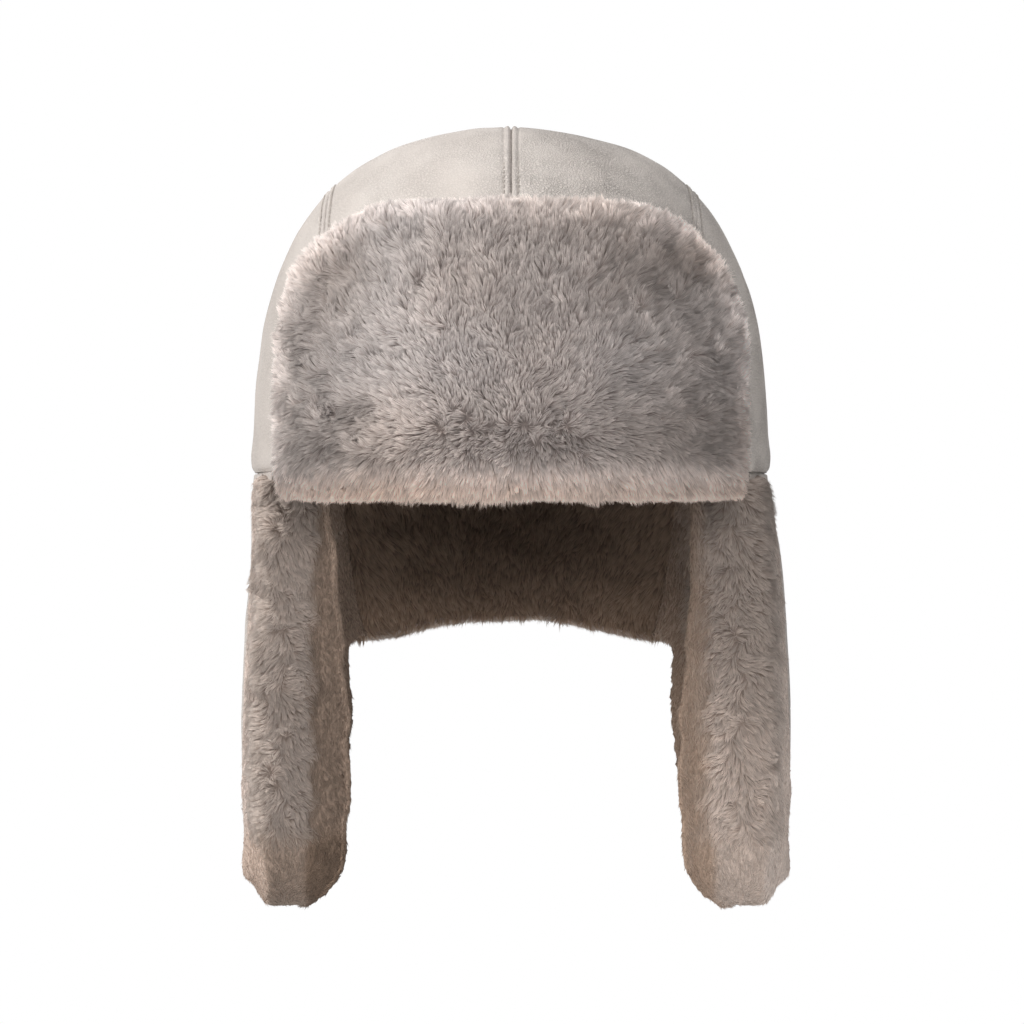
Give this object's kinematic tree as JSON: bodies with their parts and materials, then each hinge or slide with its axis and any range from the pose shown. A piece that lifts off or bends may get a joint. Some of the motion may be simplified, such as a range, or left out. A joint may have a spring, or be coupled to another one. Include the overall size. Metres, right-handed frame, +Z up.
{
  "type": "trapper hat",
  "caption": "Sheepskin trapper hat: gored leather crown, folded-up shearling visor, hanging ear flaps and nape flap, all lined with wool pile.",
  "frame": {"origin": "centre of the head opening, in the plane of the crown's lower edge, where the ear and nape flaps fold", "axes": "+Z up through the crown, -Y to the front where the visor is, +X to the wearer's left"},
  "size_m": [0.247, 0.2824, 0.338],
  "materials": {
    "leather": "matt nappa with a fine grain",
    "wool_visor": "sheared sheepskin pile, brushed",
    "wool_flap": "sheared sheepskin pile, brushed",
    "wool_lining": "sheared sheepskin pile",
    "tape": "woven cotton tape"
  },
  "bodies": {
    "crown": {"brow_band_skin": "leather", "brow_band_wool": "wool_lining", "crown_edge_tape": "tape", "crown_seam_tape_back": "tape", "crown_seam_tape_front": "tape", "crown_seam_tape_left": "tape", "crown_seam_tape_right": "tape", "crown_skin_side_left": "leather", "crown_skin_side_right": "leather", "crown_skin_top_left": "leather", "crown_skin_top_right": "leather", "crown_wool_back_left": "wool_lining", "crown_wool_back_right": "wool_lining", "crown_wool_front_left": "wool_lining", "crown_wool_front_right": "wool_lining", "crown_wool_side_left": "wool_lining", "crown_wool_side_right": "wool_lining"},
    "visor": {"visor_skin": "leather", "visor_wool": "wool_visor"},
    "ear_flap_left": {"ear_flap_left_skin": "leather", "ear_flap_left_trim": "wool_flap", "ear_flap_left_wool": "wool_flap"},
    "ear_flap_right": {"ear_flap_right_skin": "leather", "ear_flap_right_trim": "wool_flap", "ear_flap_right_wool": "wool_flap"},
    "nape_flap": {"nape_flap_skin": "leather", "nape_flap_trim": "wool_flap", "nape_flap_wool": "wool_flap"}
  },
  "joints": [
    {"name": "visor_fold", "type": "hinge", "parent": "crown", "child": "visor", "pos_m": [0, -0.1283, -0.012], "axis": [1, 0, 0], "range_deg": [0, 160]},
    {"name": "ear_flap_left_fold", "type": "hinge", "parent": "crown", "child": "ear_flap_left", "pos_m": [0.1133, 0, 0], "axis": [0, -1, 0], "range_deg": [0, 175]},
    {"name": "ear_flap_right_fold", "type": "hinge", "parent": "crown", "child": "ear_flap_right", "pos_m": [-0.1133, 0, 0], "axis": [0, 1, 0], "range_deg": [0, 175]},
    {"name": "nape_flap_fold", "type": "hinge", "parent": "crown", "child": "nape_flap", "pos_m": [0, 0.129, 0], "axis": [1, 0, 0], "range_deg": [0, 175]}
  ]
}
